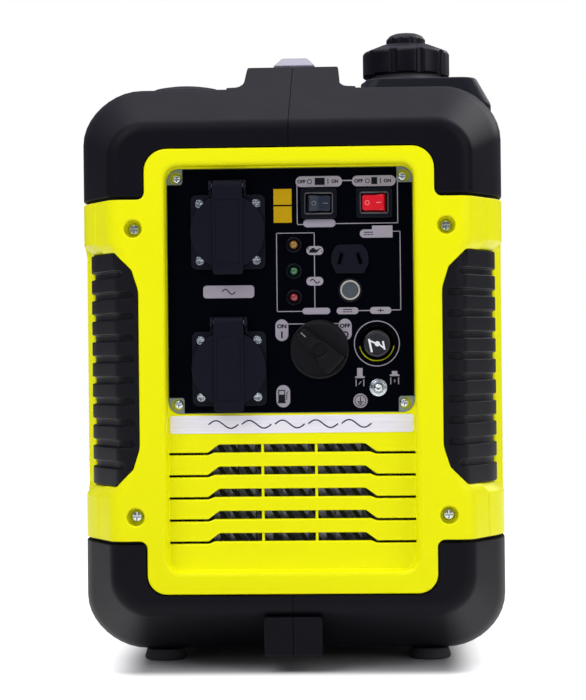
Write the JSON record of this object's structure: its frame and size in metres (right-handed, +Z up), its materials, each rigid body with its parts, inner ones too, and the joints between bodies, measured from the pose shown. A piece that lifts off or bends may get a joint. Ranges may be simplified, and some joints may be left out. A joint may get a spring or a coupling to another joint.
{
  "type": "portable generator",
  "caption": "Suitcase inverter generator in a black and yellow casing, with a top handle, a control panel and socket lids on the front, and an engine, tank and starter inside.",
  "frame": {"origin": "bottom centre of the bounding box, on the ground under the middle of the casing", "axes": "+Z up; the control panel faces -Y; +X is to the right when facing the panel; the length runs along Y"},
  "size_m": [0.29, 0.498, 0.46],
  "materials": {
    "shell_black": "fine leather grain",
    "body_yellow": "satin",
    "grip_black": "satin, ribbed",
    "handle_silver": "silver lacquer",
    "cover_black": "fine grain",
    "tank_plastic": "as moulded",
    "cap_black": "satin",
    "seal_rubber": "matte",
    "panel_print": "printed film, satin",
    "panel_grey": "satin",
    "strip_silver": "brushed",
    "grille_black": "matte",
    "socket_black": "fine grain",
    "switch_black": "satin",
    "rocker_black": "gloss",
    "rocker_red": "gloss",
    "lens_amber": "clear",
    "lens_green": "clear",
    "lens_red": "clear",
    "button_clear": "translucent",
    "brass": "bright",
    "zinc_steel": "zinc plated",
    "shaft_steel": "turned",
    "cast_aluminium": "as cast",
    "ceramic_white": "glazed",
    "rotor_iron": "painted",
    "winding_copper": "lacquered wire",
    "muffler_steel": "heat tinted",
    "starter_black": "satin",
    "reel_white": "as moulded",
    "foot_rubber": "matte"
  },
  "bodies": {
    "casing": {"left_shell": "shell_black", "right_shell": "shell_black", "front_frame": "body_yellow", "rear_frame": "body_yellow", "left_side_panel": "body_yellow", "right_side_panel": "body_yellow", "grip_front_left": "grip_black", "grip_front_right": "grip_black", "grip_rear_left": "grip_black", "grip_rear_right": "grip_black", "handle_grip": "handle_silver", "fuel_deck": "cover_black", "fuel_tank": "tank_plastic", "filler_neck": "tank_plastic", "panel_plate": "panel_grey", "panel_overlay": "panel_print", "name_strip": "strip_silver", "intake_grille": "grille_black", "socket_upper_body": "socket_black", "socket_lower_body": "socket_black", "socket_contacts": "brass", "socket_lid_pins": "zinc_steel", "econ_switch_body": "switch_black", "engine_switch_body": "switch_black", "oil_lamp": "lens_amber", "output_lamp": "lens_green", "overload_lamp": "lens_red", "dc_socket": "switch_black", "breaker_body": "switch_black", "fuel_valve": "zinc_steel", "ground_terminal": "zinc_steel", "panel_screws": "zinc_steel", "case_screws": "zinc_steel", "feet": "foot_rubber", "engine_mounts": "foot_rubber", "crankcase": "cast_aluminium", "cylinder": "cast_aluminium", "spark_plug": "ceramic_white", "stator": "winding_copper", "recoil_housing": "starter_black", "muffler": "muffler_steel", "rear_panel": "grille_black", "carburettor": "cast_aluminium", "air_filter_box": "starter_black", "inverter_module": "cast_aluminium"},
    "upper_lid": {"socket_upper_lid": "socket_black"},
    "lower_lid": {"socket_lower_lid": "socket_black"},
    "econ_key": {"econ_rocker": "rocker_black"},
    "engine_key": {"engine_rocker": "rocker_red"},
    "reset_button": {"breaker_button": "button_clear"},
    "knob": {"fuel_knob": "socket_black"},
    "choke": {"choke_knob": "socket_black"},
    "cap_seal": {"fuel_cap_seal": "seal_rubber"},
    "cap": {"fuel_cap": "cap_black"},
    "vent": {"vent_knob": "cap_black"},
    "plug_cover": {"spark_plug_cover": "cover_black"},
    "starter_grip": {"recoil_grip": "starter_black"},
    "starter_reel": {"recoil_reel": "reel_white"},
    "crank": {"crankshaft": "shaft_steel", "alternator_rotor": "rotor_iron"}
  },
  "joints": [
    {"name": "upper_lid_hinge", "type": "hinge", "parent": "casing", "child": "upper_lid", "pos_m": [-0.0414, -0.2432, 0.327], "axis": [-1, 0, 0], "range_deg": [0, 105], "stiffness_Nm_per_rad": 0.02, "springref_deg": -17.19},
    {"name": "lower_lid_hinge", "type": "hinge", "parent": "casing", "child": "lower_lid", "pos_m": [-0.0414, -0.2432, 0.2352], "axis": [-1, 0, 0], "range_deg": [0, 105], "stiffness_Nm_per_rad": 0.02, "springref_deg": -17.19},
    {"name": "econ_rocker_tilt", "type": "hinge", "parent": "casing", "child": "econ_key", "pos_m": [0.0197, -0.236, 0.3146], "axis": [0, 0, 1], "range_deg": [-18, 0]},
    {"name": "engine_rocker_tilt", "type": "hinge", "parent": "casing", "child": "engine_key", "pos_m": [0.0569, -0.236, 0.3146], "axis": [0, 0, 1], "range_deg": [0, 18]},
    {"name": "reset_button_travel", "type": "slide", "parent": "casing", "child": "reset_button", "axis": [0, -1, 0], "range_m": [0, 0.003]},
    {"name": "fuel_knob_turn", "type": "hinge", "parent": "casing", "child": "knob", "pos_m": [0.0193, -0.24, 0.2165], "axis": [0, 1, 0], "range_deg": [0, 90]},
    {"name": "choke_pull", "type": "slide", "parent": "casing", "child": "choke", "axis": [0, -1, 0], "range_m": [0, 0.014]},
    {"name": "cap_lift", "type": "slide", "parent": "casing", "child": "cap_seal", "axis": [0, 0, 1], "range_m": [0, 0.045]},
    {"name": "cap_turn", "type": "hinge", "parent": "cap_seal", "child": "cap", "pos_m": [0.083, -0.031, 0.43], "axis": [0, 0, 1], "range_deg": [0, 90]},
    {"name": "vent_turn", "type": "hinge", "parent": "cap", "child": "vent", "pos_m": [0.083, -0.031, 0.452], "axis": [0, 0, 1], "range_deg": [0, 90]},
    {"name": "plug_cover_lift", "type": "slide", "parent": "casing", "child": "plug_cover", "axis": [0, 0, 1], "range_m": [0, 0.025]},
    {"name": "starter_pull", "type": "slide", "parent": "casing", "child": "starter_grip", "axis": [-1, 0, 0], "range_m": [0, 0.09], "stiffness_N_per_m": 60, "springref_m": -0.05},
    {"name": "reel_turn", "type": "hinge", "parent": "casing", "child": "starter_reel", "pos_m": [-0.127, 0.01, 0.122], "axis": [1, 0, 0], "range_deg": [0, 116]},
    {"name": "crank_turn", "type": "hinge", "parent": "casing", "child": "crank", "pos_m": [0, 0.01, 0.122], "axis": [1, 0, 0], "continuous": true}
  ],
  "couplings": [
    {"joint": "reel_turn", "follows": "starter_pull", "rad_per_m": 22.12}
  ]
}
